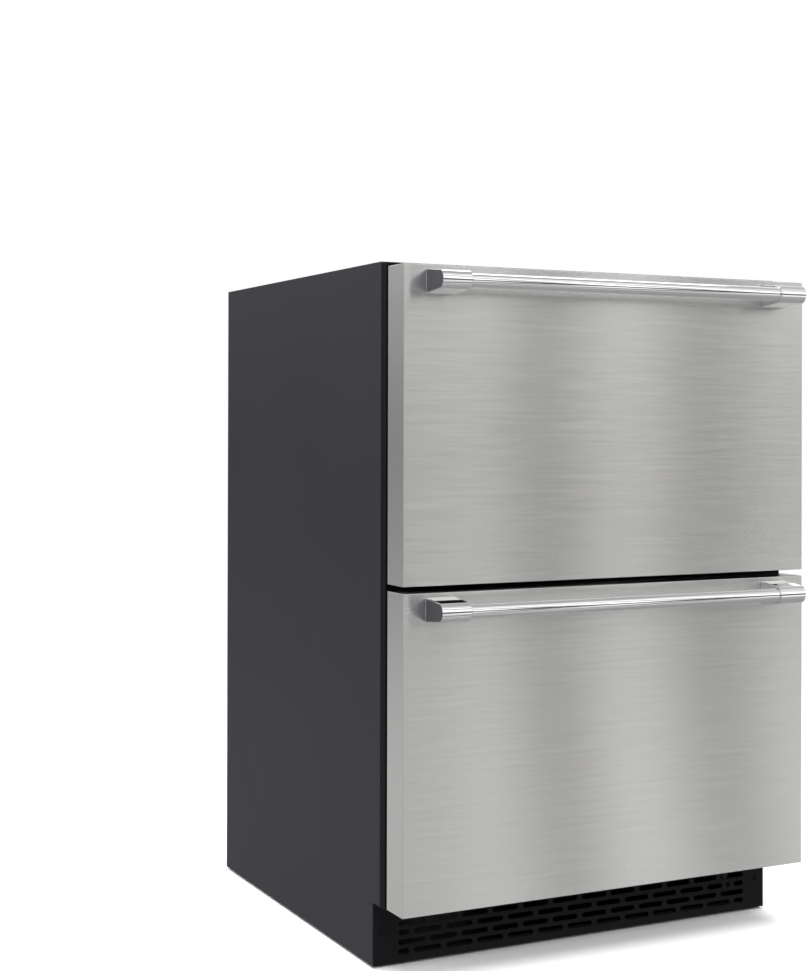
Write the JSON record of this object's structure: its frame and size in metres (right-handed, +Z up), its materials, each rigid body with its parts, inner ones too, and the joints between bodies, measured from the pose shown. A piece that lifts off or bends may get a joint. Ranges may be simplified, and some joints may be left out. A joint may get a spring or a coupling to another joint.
{
  "type": "under counter fridge",
  "caption": "Freestanding or built-in under-counter fridge with stacked pull-out drawers, brushed steel fronts, bar handles and a slotted toe-kick grille.",
  "frame": {"origin": "on the floor, under the centre of the overall box, handles included", "axes": "+Z up, -Y out of the front of the drawers, +X to the right of a person facing the front"},
  "size_m": [0.5944, 0.6384, 0.8636],
  "materials": {
    "brushed_front": "horizontally brushed stainless steel",
    "bin_steel": "fine brushed stainless steel",
    "handle_chrome": "mirror polished",
    "shell_paint": "dark grey satin powder coat, fine texture",
    "kick_paint": "black satin powder coat",
    "compressor_paint": "black gloss paint",
    "zinc": "zinc-coated sheet steel, matt spangle",
    "hardware": "bright zinc plate",
    "coil_fins": "bare rolled aluminium fins",
    "black_plastic": "black moulded plastic, fine texture",
    "control_gloss": "black gloss plastic",
    "liner_plastic": "white moulded liner plastic",
    "gasket_rubber": "matt black magnetic seal",
    "foam": "rigid insulating foam"
  },
  "bodies": {
    "cabinet": {"side_panel_left": "shell_paint", "side_panel_right": "shell_paint", "top_panel": "shell_paint", "rear_panel": "zinc", "compressor_cover": "zinc", "power_inlet": "black_plastic", "machine_bay_bulkhead": "zinc", "base_pan": "kick_paint", "kick_plate": "kick_paint", "kick_screw_left": "kick_paint", "kick_screw_right": "kick_paint", "front_frame": "black_plastic", "liner": "liner_plastic", "cabinet_insulation": "foam", "mullion": "black_plastic", "control_panel": "control_gloss", "compressor": "compressor_paint", "condensate_tray": "black_plastic", "condenser_coil": "coil_fins", "condenser_fan_shroud": "black_plastic", "evaporator_cover": "liner_plastic", "evaporator_coil": "coil_fins", "upper_slide_outer_left": "hardware", "upper_slide_outer_right": "hardware", "lower_slide_outer_left": "hardware", "lower_slide_outer_right": "hardware"},
    "upper_drawer": {"upper_front_skin": "brushed_front", "upper_front_insulation": "foam", "upper_front_liner": "liner_plastic", "upper_gasket": "gasket_rubber", "upper_handle_bar": "handle_chrome", "upper_handle_bracket_left": "handle_chrome", "upper_handle_bracket_right": "handle_chrome", "upper_handle_screw_left": "hardware", "upper_handle_screw_right": "hardware", "upper_bin": "bin_steel", "upper_slide_inner_left": "hardware", "upper_slide_inner_right": "hardware"},
    "lower_drawer": {"lower_front_skin": "brushed_front", "lower_front_insulation": "foam", "lower_front_liner": "liner_plastic", "lower_gasket": "gasket_rubber", "lower_handle_bar": "handle_chrome", "lower_handle_bracket_left": "handle_chrome", "lower_handle_bracket_right": "handle_chrome", "lower_handle_screw_left": "hardware", "lower_handle_screw_right": "hardware", "lower_bin": "bin_steel", "lower_slide_inner_left": "hardware", "lower_slide_inner_right": "hardware"},
    "upper_slides": {"upper_slide_middle_left": "hardware", "upper_slide_middle_right": "hardware"},
    "lower_slides": {"lower_slide_middle_left": "hardware", "lower_slide_middle_right": "hardware"},
    "condenser_rotor": {"condenser_fan": "black_plastic"},
    "evaporator_rotor": {"evaporator_fan": "black_plastic"},
    "front_left_leveller": {"foot_front_left": "hardware"},
    "front_right_leveller": {"foot_front_right": "hardware"},
    "rear_left_leveller": {"foot_rear_left": "hardware"},
    "rear_right_leveller": {"foot_rear_right": "hardware"}
  },
  "joints": [
    {"name": "upper_drawer_travel", "type": "slide", "parent": "cabinet", "child": "upper_drawer", "axis": [0, -1, 0], "range_m": [0, 0.4]},
    {"name": "upper_slides_travel", "type": "slide", "parent": "cabinet", "child": "upper_slides", "axis": [0, -1, 0], "range_m": [0, 0.2]},
    {"name": "lower_drawer_travel", "type": "slide", "parent": "cabinet", "child": "lower_drawer", "axis": [0, -1, 0], "range_m": [0, 0.4]},
    {"name": "lower_slides_travel", "type": "slide", "parent": "cabinet", "child": "lower_slides", "axis": [0, -1, 0], "range_m": [0, 0.2]},
    {"name": "condenser_fan_spin", "type": "hinge", "parent": "cabinet", "child": "condenser_rotor", "pos_m": [0.14, 0.17985, 0.117], "axis": [0, 1, 0], "continuous": true},
    {"name": "evaporator_fan_spin", "type": "hinge", "parent": "cabinet", "child": "evaporator_rotor", "pos_m": [0, 0.22935, 0.705], "axis": [0, 1, 0], "continuous": true},
    {"name": "front_left_leveller_travel", "type": "slide", "parent": "cabinet", "child": "front_left_leveller", "axis": [0, 0, -1], "range_m": [0, 0.025]},
    {"name": "front_right_leveller_travel", "type": "slide", "parent": "cabinet", "child": "front_right_leveller", "axis": [0, 0, -1], "range_m": [0, 0.025]},
    {"name": "rear_left_leveller_travel", "type": "slide", "parent": "cabinet", "child": "rear_left_leveller", "axis": [0, 0, -1], "range_m": [0, 0.025]},
    {"name": "rear_right_leveller_travel", "type": "slide", "parent": "cabinet", "child": "rear_right_leveller", "axis": [0, 0, -1], "range_m": [0, 0.025]}
  ],
  "couplings": [
    {"joint": "upper_slides_travel", "follows": "upper_drawer_travel", "ratio": 0.5},
    {"joint": "lower_slides_travel", "follows": "lower_drawer_travel", "ratio": 0.5}
  ]
}
